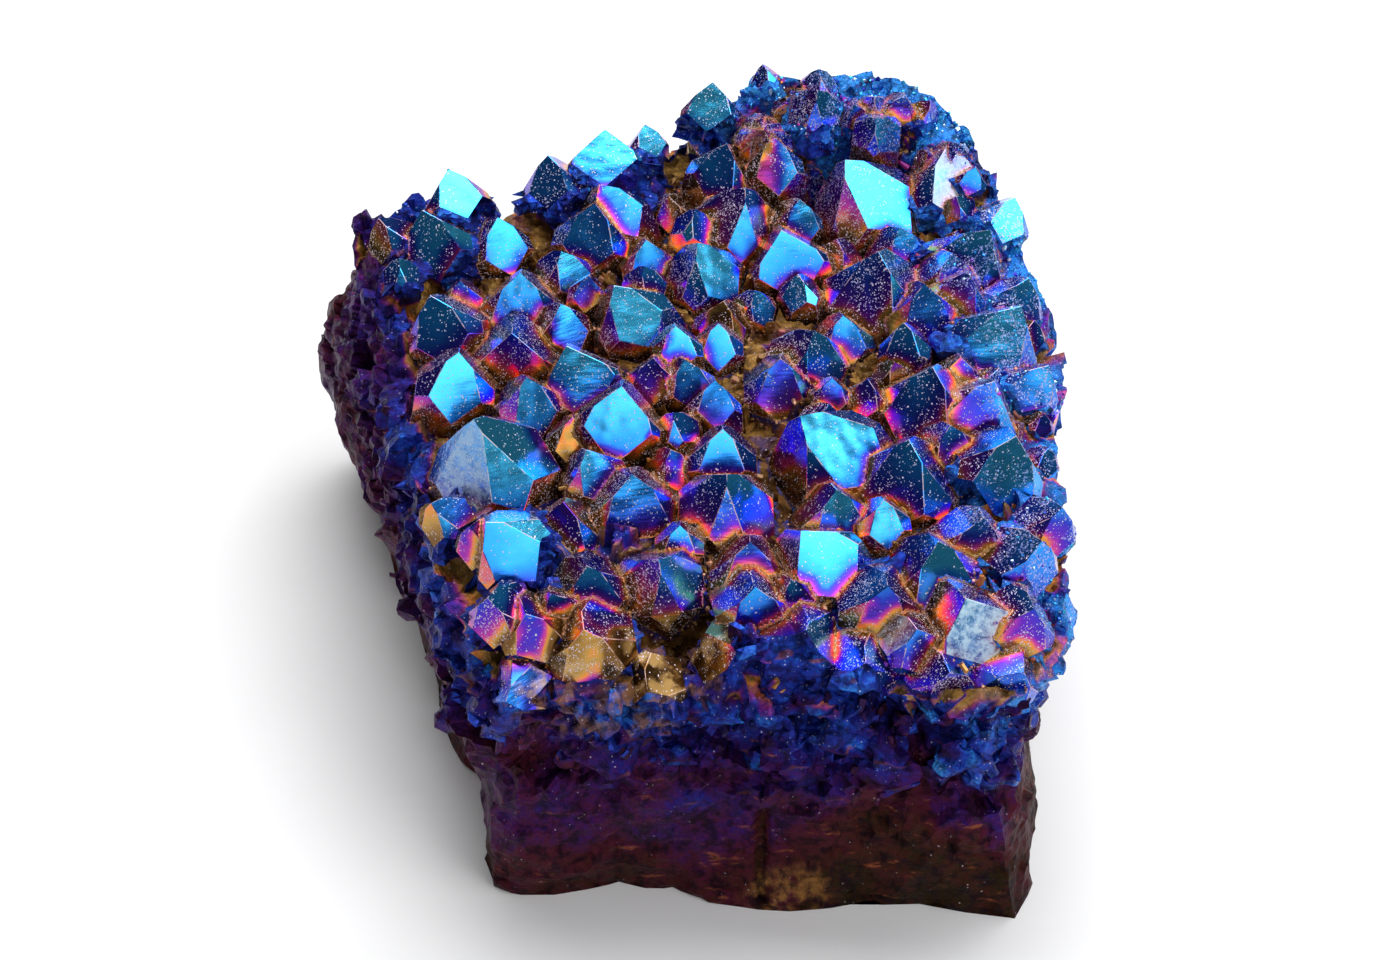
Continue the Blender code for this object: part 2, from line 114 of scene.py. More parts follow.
def to_mesh(bm, name):
    """The finished mesh. The one being edited is freed."""
    mesh = bpy.data.meshes.new(name)
    bm.to_mesh(mesh)
    bm.free()
    return mesh


def split_long(bm, rounds, limit):
    """Halves every edge that is longer than limit(edge), round after round."""
    for _ in range(rounds):
        bmesh.ops.triangulate(bm, faces=[face for face in bm.faces if len(face.verts) > 3])
        long = [edge for edge in bm.edges if edge.calc_length() > limit(edge)]
        if not long:
            break
        bmesh.ops.subdivide_edges(bm, edges=long, cuts=1, use_grid_fill=True)


def plain_object(name, mesh, materials):
    obj = bpy.data.objects.new(name, mesh)
    bpy.context.scene.collection.objects.link(obj)
    for material in materials:
        mesh.materials.append(material)
    return obj


# ---- settings ------------------------------


def length(name, description, default):
    return FloatProperty(name=name, description=description, default=default, min=0.0,
                         precision=5, subtype="DISTANCE", unit="LENGTH")


def colour(name, description, default):
    return FloatVectorProperty(name=name, description=description, default=default, min=0.0,
                               max=1.0, size=3, subtype="COLOR")


def density(name, description, default):
    return FloatProperty(name=name, description=description + ", per square metre", default=default, min=0.0)


def angle(name, description, degrees):
    return FloatProperty(name=name, description=description, default=math.radians(degrees),
                         subtype="ANGLE", unit="ROTATION")


class AuraCrystalSettings(bpy.types.PropertyGroup):
    """Sizes of the large crystals' finish."""

    edge_width: length("Edge width", "Width of the worn edge between two crystal faces", 0.00016)
    face_spacing: length("Face spacing", "Longest mesh edge on a crystal face", 0.0018)
    dust_size: length("Dust size", "Distance between dust specks on the faces", 0.00016)
    border_width: length("Border width", "Width of the sugary band along the crystals' feet", 0.00048)


class AuraRockSettings(bpy.types.PropertyGroup):
    """Sizes of the broken rock's relief."""

    spacing: length("Rock spacing", "Longest mesh edge on the broken walls", 0.00085)
    chip_size: length("Chip size", "Width of the large chips", 0.0050)
    chip_depth: length("Chip depth", "How far the large chips stand out", 0.0024)
    ledge_depth: length("Ledge depth", "How far the ledges under the rim stand out", 0.0010)
    grain_depth: length("Grain depth", "How far the fine grain stands out", 0.00022)
    crack_depth: length("Crack depth", "Depth of the crack in the front wall", 0.0009)


class AuraGrainSettings(bpy.types.PropertyGroup):
    """Counts and sizes of the grains too small for the solid."""

    valley_density: density("Valley points", "Micro points in the valleys", 0.7e6)
    foot_density: density("Foot grains", "Sugar grains along the crystals' feet", 2.2e6)
    crust_density: density("Crust grains", "Sugar grains on the rims", 1.7e6)
    chip_density: density("Wall chips", "Chips on the broken walls", 0.08e6)
    valley_size: length("Valley point size", "Width of the largest micro point", 0.0010)
    foot_size: length("Foot grain size", "Width of the largest grain along a crystal's foot", 0.00045)
    crust_size: length("Crust grain size", "Width of the largest sugar grain", 0.00062)
    chip_size: length("Wall chip size", "Width of the largest chip", 0.0033)
    seed: IntProperty(name="Seed", description="Where the grains fall", default=11)


class AuraFilmSettings(bpy.types.PropertyGroup):
    """The film's colours, from where it is thinnest to where it is thickest."""

    umber: colour("Umber", "No film to speak of", (0.160, 0.075, 0.020))
    straw: colour("Straw", "The thinnest film", (0.46, 0.26, 0.06))
    orange: colour("Orange", "Thin film", (0.74, 0.24, 0.05))
    magenta: colour("Magenta", "Between orange and violet", (0.52, 0.05, 0.27))
    violet: colour("Violet", "Between magenta and blue", (0.12, 0.022, 0.44))
    ultramarine: colour("Ultramarine", "Deep blue", (0.026, 0.040, 0.48))
    azure: colour("Azure", "Thick film", (0.020, 0.26, 0.80))
    cyan: colour("Cyan", "The thickest film", (0.06, 0.53, 0.88))
    dust: colour("Dust", "Pale dust specks on the faces", (0.94, 0.86, 1.0))
    sugar: colour("Sugar", "The sugary band along the crystals' feet", (0.66, 0.33, 0.20))
    # Pale along the ridges: partly bare worn quartz, partly painted highlight where the edges catch the
    # light.
    worn_edge: colour("Worn edge", "Bare quartz along worn crystal edges", (0.80, 0.50, 0.42))
    rime: colour("Rime", "Fine glitter on the outer rims", (0.50, 0.52, 1.0))
    honey: colour("Honey", "Crystals stained gold", (0.60, 0.36, 0.12))
    # Painted glare: a nearly white film on faces that catch the light, also laid on a share of the crust
    # grains as painted sparkle.
    frost: colour("Frost", "Faces whose film is frosted and nearly white", (0.66, 0.88, 1.0))


class AuraWallSettings(bpy.types.PropertyGroup):
    """The broken walls' colours, from the foot up to the rim."""

    olive: colour("Olive", "Stained rock at the foot", (0.026, 0.015, 0.005))
    brown: colour("Brown", "Low on the walls", (0.062, 0.015, 0.012))
    wine: colour("Wine", "Above the brown", (0.078, 0.010, 0.026))
    plum: colour("Plum", "Halfway up", (0.055, 0.009, 0.085))
    indigo: colour("Indigo", "Where the rough band starts", (0.022, 0.013, 0.17))
    cobalt: colour("Cobalt", "Under the rim", (0.016, 0.055, 0.42))
    sky_blue: colour("Sky blue", "The highest edges", (0.04, 0.26, 0.75))
    gold: colour("Gold", "Stained patches", (0.30, 0.135, 0.035))
    flake: colour("Flake", "Thin flakes along the streaks", (0.30, 0.085, 0.035))
    shade: colour("Shade", "The darkest grains", (0.006, 0.003, 0.009))
    pit: colour("Pit", "Pits in the floor between the crystals", (0.022, 0.011, 0.004))


class AuraStudioSettings(bpy.types.PropertyGroup):
    """The floor, the light and the camera."""

    floor: colour("Floor", "Colour of the floor", (0.93, 0.93, 0.935))
    sky: colour("Sky", "Colour of the light from all round", (0.90, 0.93, 1.0))
    sky_strength: FloatProperty(name="Sky strength", description="Light from all round", default=0.06)
    key_power: FloatProperty(name="Key power", description="Power of the softbox at the right", default=1.1,
                             unit="POWER")
    back_power: FloatProperty(name="Back power", description="Power of the softbox behind",
                              default=9.0, unit="POWER")
    camera_elevation: angle("Camera elevation", "How far the camera looks down", 42)
    camera_distance: length("Camera distance", "From the camera to what it looks at", 0.250)
    camera_lens: FloatProperty(name="Lens", description="Focal length on a 36 mm sensor",
                               default=57.857, subtype="DISTANCE_CAMERA", unit="CAMERA")


SETTINGS = {
    "aura_crystals": AuraCrystalSettings,
    "aura_rock": AuraRockSettings,
    "aura_grains": AuraGrainSettings,
    "aura_film": AuraFilmSettings,
    "aura_walls": AuraWallSettings,
    "aura_studio": AuraStudioSettings,
}

# ---- node trees ------------------------------


class Wire:
    """A node's output. Arithmetic on wires adds Math nodes to their tree."""

    def __init__(self, graph, socket):
        self.graph = graph
        self.socket = socket

    def maths(self, operation, *values, clamp=False):
        settings = {"operation": operation, "use_clamp": clamp}
        return self.graph.add("ShaderNodeMath", settings, dict(enumerate(values)))

    def beside(self, name):
        """Another output of the same node."""
        return Wire(self.graph, self.socket.node.outputs[name])

    def __add__(self, other):
        return self.maths("ADD", self, other)

    def __radd__(self, other):
        return self.maths("ADD", other, self)

    def __sub__(self, other):
        return self.maths("SUBTRACT", self, other)

    def __rsub__(self, other):
        return self.maths("SUBTRACT", other, self)

    def __mul__(self, other):
        return self.maths("MULTIPLY", self, other)

    def __rmul__(self, other):
        return self.maths("MULTIPLY", other, self)

    def __lt__(self, other):
        return self.maths("LESS_THAN", self, other)

    def clamped(self):
        return self.maths("ADD", self, 0.0, clamp=True)

    def stretched(self, low, high):
        """0 where the wire is low and 1 where it is high, easing between."""
        settings = {"interpolation_type": "SMOOTHSTEP"}
        return self.graph.add("ShaderNodeMapRange", settings, {
            "Value": self, "From Min": low, "From Max": high})


class Graph:
    """A node tree being built."""

    def __init__(self, tree):
        self.tree = tree

    def add(self, kind, settings=None, inputs=None, output=0):
        """Adds a node: first its settings, then its sockets' values or wires. Returns an output."""
        node = self.tree.nodes.new(kind)
        for name, value in (settings or {}).items():
            if name == "stops":
                self.set_stops(node.color_ramp, value)
            else:
                setattr(node, name, value)
        for name, value in (inputs or {}).items():
            self.feed(node.inputs[name], value)
        return Wire(self, node.outputs[output]) if node.outputs else node

    def feed(self, socket, value):
        if isinstance(value, Wire):
            self.tree.links.new(value.socket, socket)
        else:
            socket.default_value = value

    def set_stops(self, ramp, stops):
        while len(ramp.elements) < len(stops):
            ramp.elements.new(1.0)
        for element, (position, stop_colour) in zip(ramp.elements, stops):
            element.position = position
            element.color = (*stop_colour, 1.0)

    def attribute(self, name):
        return self.add("ShaderNodeAttribute", {"attribute_name": name}, output="Fac")

    def scaled(self, vector, factors):
        return self.add("ShaderNodeVectorMath", {"operation": "MULTIPLY"}, {0: vector, 1: factors})

    def mix(self, factor, first, second):
        """A colour between two colours or colour wires."""
        colours = [value if isinstance(value, Wire) else (*value, 1.0) for value in (first, second)]
        node_inputs = {"Factor": factor, 6: colours[0], 7: colours[1]}
        return self.add("ShaderNodeMix", {"data_type": "RGBA"}, node_inputs, output=2)


class Finish(Graph):
    """A material being built around one Principled shader."""

    def __init__(self, name, **constants):
        self.material = bpy.data.materials.new(name)
        self.material.use_nodes = True
        super().__init__(self.material.node_tree)
        self.shader = self.tree.nodes["Principled BSDF"]
        for socket, value in constants.items():
            self.shader.inputs[socket.replace("_", " ")].default_value = value
        self.spot = self.add("ShaderNodeTexCoord", {}, {}, "Object")

    def noise(self, size, detail=3.0, roughness=0.5, spot=None):
        """Soft noise from 0 to 1 whose lumps are about size wide."""
        return self.add("ShaderNodeTexNoise", {}, {
            "Vector": spot or self.spot, "Scale": 1 / size, "Detail": detail, "Roughness": roughness})

    def coated(self, tint, settings, **shares):
        """A tint under some of the settings' colours, laid on in turn, each by its share."""
        for name, share in shares.items():
            tint = self.mix(share, tint, tuple(getattr(settings, name)))
        return tint

    def set(self, **wires):
        for socket, wire in wires.items():
            self.feed(self.shader.inputs[socket.replace("_", " ")], wire)

    def bump(self, height, depth):
        """A normal tilted by a height from 0 to 1 that stands for depth metres."""
        return self.add("ShaderNodeBump", {}, {"Height": height, "Distance": depth})


# ---- finishes ------------------------------

FILM_STOPS = [  # film thickness, 0 to 1, where each colour of the settings is pure
    (0.00, "umber"), (0.13, "straw"), (0.22, "orange"), (0.32, "magenta"), (0.43, "violet"),
    (0.54, "ultramarine"), (0.70, "azure"), (0.92, "cyan")]
WALL_STOPS = [  # the same up the walls, from the foot to the rim
    (0.00, "olive"), (0.14, "brown"), (0.32, "wine"), (0.48, "plum"), (0.62, "indigo"),
    (0.80, "cobalt"), (1.00, "sky_blue")]


def ramp_colour(finish, value, settings, stops):
    stops = [(place, tuple(getattr(settings, name))) for place, name in stops]
    return finish.add("ShaderNodeValToRGB", {"stops": stops}, {"Fac": value})


def specks(finish, size, radius, kept):
    """Round dust specks, 1 inside each: kept is the share of cells that hold one."""
    cells = finish.add("ShaderNodeTexVoronoi", {}, {"Vector": finish.spot, "Scale": 1 / size})
    lottery = finish.add("ShaderNodeSeparateColor", {}, {"Color": cells.beside("Color")})
    chance = lottery.beside("Green")
    spread = radius * (0.35 + 1.1 * chance * chance)
    return (cells.beside("Distance") < spread) * (lottery < kept) * (0.35 + 0.65 * lottery.beside("Blue"))


def stain(finish):
    """Where the rock and crystals are stained gold, in uneven patches."""
    return finish.attribute("gold") * finish.noise(0.0018, detail=5.0).stretched(0.42, 0.62)


def facet_finish():
    """The crystals' faces: a mirror of thin film under dust specks, with pale edges that are partly worn and
    partly painted highlight, and painted glare on some faces.
    """
    films, sizes = bpy.context.scene.aura_film, bpy.context.scene.aura_crystals
    finish = Finish("aura_facet", Specular_IOR_Level=0.6)
    patches = finish.noise(0.0035) - 0.5
    film = (finish.attribute("film") + patches * 0.20).clamped()
    dusty = finish.attribute("dust") * finish.noise(0.0018, detail=4.0).stretched(0.30, 0.60)
    dust = specks(finish, sizes.dust_size, 0.45, dusty)
    dust = dust.maths("MAXIMUM", dust, specks(finish, sizes.dust_size * 2.6, 0.15, 0.06 + 0.30 * dusty))
    rimy = finish.attribute("crust") * finish.noise(0.0015, detail=5.0).stretched(0.32, 0.52)
    rime = specks(finish, sizes.dust_size * 1.3, 0.55, rimy * 3.4)
    mottle = finish.noise(0.0011, detail=6.0, roughness=0.7).stretched(0.36, 0.60)
    # Painted highlight: the listed faces are painted nearly white as glare, with a mottle.
    frost = finish.attribute("frost") * (0.25 + 0.75 * mottle)
    grit = finish.noise(0.00035, detail=2.0)
    border = (finish.attribute("border") + (grit - 0.5) * 1.3).stretched(0.45, 0.75)
    # Pale ridges, partly worn and partly painted highlight: the edges are painted lighter as if catching the
    # light.
    edge = finish.attribute("edge") * finish.noise(0.0012).stretched(0.42, 0.62)
    tint = ramp_colour(finish, film, films, FILM_STOPS)
    sugar = finish.mix(grit.stretched(0.35, 0.65), tuple(films.sugar), tint)
    tint = finish.mix(border * 0.85, tint, sugar)
    stained = stain(finish)
    tint = finish.coated(tint, films, honey=stained * 0.85, dust=dust, rime=rime * 0.8,
                         worn_edge=edge * 0.7, frost=frost * 0.85)
    fibres = finish.noise(0.0003, detail=4.0, spot=finish.scaled(finish.spot, (0.15, 0.15, 1.0)))
    waves = finish.noise(0.0030, detail=1.0)
    relief = fibres * 0.10 + waves + (border + dust + rime) * grit * 0.8
    bare = rime * 0.5 + dust * 0.9 + edge * 0.6 + border * 0.35 + (frost + stained) * 0.7
    finish.set(
        Base_Color=tint,
        Metallic=(0.92 - bare).clamped(),
        Roughness=(0.13 + fibres * 0.10 + dust * 0.3 + (edge + border + frost) * 0.25).clamped(),
        Normal=finish.bump(relief, 0.00012))
    return finish.material


def rock_finish():
    """Broken rock under the film: umber and wine below, violet and blue towards the rim, gold inside."""
    films, walls = bpy.context.scene.aura_film, bpy.context.scene.aura_walls
    finish = Finish("coated_rock", Specular_IOR_Level=0.08)
    inside = finish.attribute("inside")
    patches = finish.noise(0.003, detail=4.0) - 0.5
    grain = finish.noise(0.0006, detail=6.0, roughness=0.65)
    up = (finish.attribute("wall") + patches * 0.36 + (grain - 0.5) * 0.50).clamped()
    wall = ramp_colour(finish, up, walls, WALL_STOPS)
    film = (finish.attribute("film") + patches * 0.30 + (grain - 0.5) * 0.25).clamped()
    floor = ramp_colour(finish, film, films, FILM_STOPS)
    pits = finish.noise(0.0014, detail=3.0).stretched(0.40, 0.62)
    floor = finish.coated(floor, walls, pit=pits * 0.6)
    stained = stain(finish)
    streaks = finish.noise(0.0007, detail=5.0, spot=finish.scaled(finish.spot, (0.22, 0.22, 1.0)))
    flakes = streaks.stretched(0.61, 0.69) * (1.0 - inside) * patches.stretched(-0.12, 0.12)
    shade = finish.noise(0.0013, detail=5.0, roughness=0.6).stretched(0.56, 0.36)
    tint = finish.coated(finish.mix(inside, wall, floor), walls, gold=stained * 0.8,
                         flake=flakes * 0.7, shade=shade * 0.75 * (1.0 - inside))
    dusty = 0.10 + 0.4 * inside + 0.5 * finish.attribute("wall").stretched(0.5, 0.8)
    dust = specks(finish, 0.00030, 0.22, dusty * grain.stretched(0.4, 0.6))
    tint = finish.coated(tint, films, dust=dust * 0.7)
    relief = grain * 0.9 + streaks * 0.7 * (1.0 - up)
    finish.set(
        Base_Color=tint,
        Metallic=(0.55 + up * 0.30 - dust * 0.4 - stained * 0.4 - inside * 0.3).clamped(),
        Roughness=(0.50 - up * 0.22 + (grain - 0.5) * 0.5).clamped(),
        Normal=finish.bump(relief, 0.0004))
    return finish.material


def grain_finish(name, metallic, roughness, pale=0.0, pale_colour="sugar"):
    """Grains: each one has its own film thickness, and a share of them is pale instead."""
    settings = bpy.context.scene.aura_film
    finish = Finish(name, Specular_IOR_Level=0.6, Metallic=metallic)
    film = (finish.attribute("film") + (finish.noise(0.002) - 0.5) * 0.2).clamped()
    tint = ramp_colour(finish, film, settings, FILM_STOPS)
    bare = (finish.attribute("luck") < pale) * 0.85
    finish.set(
        Base_Color=finish.coated(tint, settings, **{pale_colour: bare}),
        Roughness=(roughness + finish.noise(0.0005) * 0.2).clamped())
    return finish.material


def chip_finish():
    """Chips of the walls: the colours of the rock they lie on, each a little off."""
    settings = bpy.context.scene.aura_walls
    finish = Finish("wall_chip", Specular_IOR_Level=0.2, Metallic=0.7)
    grain = finish.noise(0.0008, detail=5.0) - 0.5
    level = finish.attribute("wall") + (finish.attribute("luck") - 0.6) * 0.45 + grain * 0.5
    tint = ramp_colour(finish, level.clamped(), settings, WALL_STOPS)
    dull = finish.attribute("luck").stretched(0.75, 0.35)
    finish.set(
        Base_Color=finish.coated(tint, settings, shade=dull * 0.6),
        Roughness=(0.38 + grain * 0.5).clamped(),
        Normal=finish.bump(grain, 0.0002))
    return finish.material


def floor_finish():
    settings = bpy.context.scene.aura_studio
    finish = Finish("studio_floor", Roughness=0.7)
    cloud = finish.noise(0.05)
    base = tuple(settings.floor)
    finish.set(Base_Color=finish.mix(cloud * 0.05, base, tuple(0.9 * value for value in base)))
    return finish.material


# ---- the solid's facets ------------------------------

WELD = 2e-6
FLAT = math.radians(1.0)
END_FACE_SLOPE = math.radians(51.8)  # between an end face's normal and the crystal's long axis
EXACT = math.radians(0.35)
SIDE_FOLDS = math.radians(31.5), math.radians(46)  # between an end face and the side face below it
WORN_FOLD = math.radians(25)  # a blunter ridge isn't worn
VALLEY_FOLD = math.radians(-18)
UNDERSIDE = -0.95  # a normal's Z on the flat underside
LOWEST_CRYSTAL = 0.0285
BROKEN_LIP = (11.0, -44.5, 30.5, 7.5)  # X, Y, Z and radius in millimetres
PLANE_STEP = 5e-5
REFINE_ROUNDS = 7
UNDERSIDE_COARSER = 8


def end_face_angles():
    """The angles at which a quartz point's end faces meet: next to each other, and one apart."""
    flat, steep = math.cos(END_FACE_SLOPE) ** 2, math.sin(END_FACE_SLOPE) ** 2
    return [math.acos(flat + steep * math.cos(math.radians(turn))) for turn in (60, 120)]


def whole_facets():
    """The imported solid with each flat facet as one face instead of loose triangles."""
    bm = bmesh.new()
    bm.from_mesh(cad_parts[NODE].data)
    bmesh.ops.remove_doubles(bm, verts=bm.verts, dist=WELD)
    bmesh.ops.dissolve_limit(bm, angle_limit=FLAT, verts=bm.verts, edges=bm.edges)
    return bm


def fold(edge):
    """The signed angle across an edge: over zero on a ridge, under zero in a valley."""
    return edge.calc_face_angle_signed(0.0)


def crystal_faces(bm):
    """The faces of crystals, told from broken rock by the fixed angles between them."""
    known = end_face_angles()
    ends = {face for edge in bm.edges if min(abs(fold(edge) - given) for given in known) < EXACT
            for face in edge.link_faces}
    low, high = SIDE_FOLDS
    found = set(ends)
    for face in ends:
        for edge in face.edges:
            if low < fold(edge) < high:
                found.update(edge.link_faces)
    planes = {plane_key(face) for face in found}
    found.update(face for face in bm.faces if plane_key(face) in planes)
    return {face for face in found if not broken(face.calc_center_median())}


def broken(point):
    """True where crystals are broken away to rough rock: low on the walls and in the lip's middle."""
    x, y, z, radius = BROKEN_LIP
    return point.z < LOWEST_CRYSTAL or (point / MM - Vector((x, y, z))).length < radius


def plane_key(face):
    """The same for all faces that lie in one plane, near enough."""
    normal = face.normal
    offset = normal.dot(face.calc_center_median())
    return (round(normal.x, 2), round(normal.y, 2), round(normal.z, 2), round(offset / PLANE_STEP))


def paint_glare_faces(bm, layers):
    """Paints glare on the crystal face nearest to each of the listed places: a painted highlight, nearly
    white.
    """
    faces = [face for face in bm.faces if face[layers["crystal"]] and face.normal.z > 0.1]
    for x, y, z, amount in PAINTED_GLARE_PLACES:
        place = Vector((x, y, z)) * MM
        nearest = min(faces, key=lambda face: (face.calc_center_median() - place).length)
        nearest[layers["frost"]] = amount


def wear_edges(bm, layers, width):
    """A narrow strip along each ridge between two crystal faces."""
    ridges = []
    for edge in bm.edges:
        faces = edge.link_faces
        sharp = fold(edge) > WORN_FOLD and edge.calc_length() > 3 * width
        if sharp and all(face[layers["crystal"]] for face in faces):
            near = [other for vert in edge.verts for other in vert.link_edges]
            if min(other.calc_length() for other in near) > 1.6 * width:
                ridges.append(edge)
    worn = bmesh.ops.bevel(bm, geom=ridges, offset=width / 2, offset_type="OFFSET", segments=1,
                           profile=0.5, affect="EDGES", clamp_overlap=True)
    # The strips are painted pale: partly worn quartz, partly painted highlight along the ridges.
    for face in worn["faces"]:
        face[layers["edge"]] = 1.0


def refine(bm, layers, valleys, crystals, rock):
    """Splits long edges until the mesh is fine enough to carry relief and the film's borders."""
    def limit(edge):
        middle = (edge.verts[0].co + edge.verts[1].co) / 2
        if any(face.normal.z < UNDERSIDE for face in edge.link_faces):
            return UNDERSIDE_COARSER * rock.spacing
        if any(face[layers["crystal"]] for face in edge.link_faces):
            near = ease(0.0025, 0.0006, valleys.find(middle)[2])
            return crystals.face_spacing * (1 - 0.62 * near)
        return rock.spacing * (1.5 - 0.5 * ease(0.3, 0.5, height_share(middle)))

    split_long(bm, REFINE_ROUNDS, limit)


# ---- relief and measures ------------------------------

PAINTED_LIGHT_FROM = Vector((0.38, -0.55, 0.74)).normalized()  # painted light from the front right and above: faces turned to it get a thicker, brighter film
SKY_RAYS = 28
SKY_REACH = 0.016
SKY_WIDTH = 0.97  # 1 would take in rays down to the horizon
VALLEY_STEP = 0.0003
SKIN = 0.00006  # how far off the surface a ray starts

# Pairs are what ease goes from and to: metres, shares of the height or the sky, or a slope.
PAINTED_LIGHT_FACING = 0.58, 0.96  # how well a face is turned to the painted light, which thickens and brightens its film
FILM_RISE = 0.0, 0.0017  # away from a valley the film thickens fast, then slowly
FILM_SLOPE = 0.001, 0.0055
LIP = -0.0395, -0.0420  # Y at the front edge, where crystals are as dull as the wall
UNDER_RIM = 0.70, 0.62
DUSTY_FACES = 0.15, 0.8
FLOOR_SLOPE = 0.25, 0.55
FLOOR_HEIGHT = 0.56, 0.62
FLOOR_SKY = 0.80, 0.55
FLOOR_FILM = 0.0, 0.004
CHIPS_BEGIN = 0.26, 0.46
CHIPS_END = 0.84, 0.70
CLUSTERS = -0.25, 0.15
DEEP = 0.0018, 0.0004  # valleys that micro points grow in
DEEP_SKY = 0.55, 0.30
DEEP_SLOPE = 0.05, 0.35
ABOVE_RIM = 0.62, 0.66
FOOT = 0.0005, 0.0
FOOT_HEIGHT = 0.60, 0.64
FACET_SPREAD = 0.09
MIDDLE_SKY = 0.42  # the open share that neither thickens nor thins the film
FILM_PATCH = 0.011
CLUSTER_SIZE = 0.006
SPARKLE = 0.003

# The broken walls.
ROUGH_BAND = 0.22, 0.44
RIGHT_HALF = 0.0, 0.035
SIDE_WALLS = 0.030, 0.040
LEFT_WALL = -0.026, -0.036
WALL_PATCH = 0.012
SMALL_CHIP = 0.4  # of a large chip's width
CHIP_STEP = 0.8  # how much chips differ in height
CHIP_TILT = 1.2
LEDGE_HEIGHT = 0.0022
LEDGE_FLOOR = -0.15
GRAIN_SIZE = 0.0011
STREAK_HEIGHT = 0.0009
CRACK_REACH = 0.015  # how far behind the front the crack can be
CRACK_WANDER = 0.0014


def sky_directions():
    """Directions all over the sky, closer together near the zenith."""
    golden = math.pi * (3 - math.sqrt(5))
    for number in range(SKY_RAYS):
        rise = math.sqrt(1 - (number + 0.5) / SKY_RAYS * SKY_WIDTH)
        level = math.sqrt(1 - rise * rise)
        yield Vector((math.cos(golden * number) * level, math.sin(golden * number) * level, rise))


def sky_shares(bm, tree):
    """For each vertex, the share of the sky it sees past its neighbours."""
    directions = list(sky_directions())
    shares = []
    for vert in bm.verts:
        normal = vert.normal
        start = vert.co + normal * SKIN
        seen = [out for out in directions
                if normal.dot(out) > 0 and tree.ray_cast(start, out, SKY_REACH)[0] is None]
        shares.append(len(seen) / SKY_RAYS)
    return shares


def smoothed(bm, values, rounds):
    """Averages a value over each vertex and its neighbours."""
    for _ in range(rounds):
        before = values
        values = []
        for vert in bm.verts:
            near = [before[edge.other_vert(vert).index] for edge in vert.link_edges]
            values.append((before[vert.index] + sum(near)) / (1 + len(near)))
    return values


def valley_lines(bm, layers):
    """Points along every valley where a crystal face meets anything else."""
    spots = []
    for edge in bm.edges:
        if fold(edge) < VALLEY_FOLD and any(face[layers["crystal"]] for face in edge.link_faces):
            start, end = (vert.co for vert in edge.verts)
            count = max(1, int(edge.calc_length() / VALLEY_STEP))
            spots += [start.lerp(end, number / count) for number in range(count + 1)]
    tree = KDTree(len(spots))
    for number, spot in enumerate(spots):
        tree.insert(spot, number)
    tree.balance()
    return tree


def levelled(point, spread):
    """A point for noise that is drawn out level: spread is how fast it changes sideways."""
    return Vector((point.x * spread, point.y * spread, point.z))


def chip(point, size):
    """Height of a broken surface made of tilted flat chips, about -0.5 to 0.5."""
    spot = point / size
    nearest = noise.voronoi(spot)[1][0]
    tilt = Vector([noise.noise(nearest * 3.7 + Vector((9.0 * axis, 0, 0))) for axis in range(3)])
    return noise.noise(nearest * 5.3) * CHIP_STEP + tilt.dot(spot - nearest) * CHIP_TILT


def rock_relief(point, settings):
    """How far the broken rock stands out at a point."""
    rise = height_share(point) + 0.14 * noise_at(point, WALL_PATCH)
    rise += 0.08 * ease(*RIGHT_HALF, point.x)
    rough = ease(*ROUGH_BAND, rise) * (1 - 0.45 * ease(*SIDE_WALLS, abs(point.x)))
    out = chip(point, settings.chip_size) * settings.chip_depth * (0.22 + 0.9 * rough)
    out += chip(point, settings.chip_size * SMALL_CHIP) * settings.chip_depth * 0.45 * (0.25 + rough)
    ledge = noise_at(levelled(point, 0.35), LEDGE_HEIGHT)
    out += max(ledge, LEDGE_FLOOR) * settings.ledge_depth * rough
    out += noise_at(point, GRAIN_SIZE) * settings.grain_depth * (0.6 + rough)
    out += noise_at(levelled(point, 0.2), STREAK_HEIGHT) * settings.grain_depth * 0.9 * (1 - rough)
    return out - crack_share(point) * settings.crack_depth


def crack_share(point):
    """1 along the upright crack in the front wall, fading to 0 beside it."""
    x, top, width = (value * MM for value in FRONT_CRACK)
    if point.y > CAD_BOX[0][1] + CRACK_REACH or point.z > top:
        return 0.0
    wander = CRACK_WANDER * noise_at(Vector((0, 0, point.z)), 0.005)
    return ease(width, 0.2 * width, abs(point.x - x - wander)) * ease(top, 0.7 * top, point.z)


def displace(bm, layers, settings):
    """Moves the rock out and in; rock next to a crystal stays where it meets it."""
    moves = []
    for vert in bm.verts:
        faces = vert.link_faces
        if any(face[layers["crystal"]] or face.normal.z < UNDERSIDE for face in faces):
            continue
        rough = 1 - 0.6 * vert[layers["crust"]]
        moves.append((vert, vert.normal * rock_relief(vert.co, settings) * rough))
    for vert, move in moves:
        vert.co = in_box(vert.co + move)


# ---- where the film is thick or thin ------------------------------

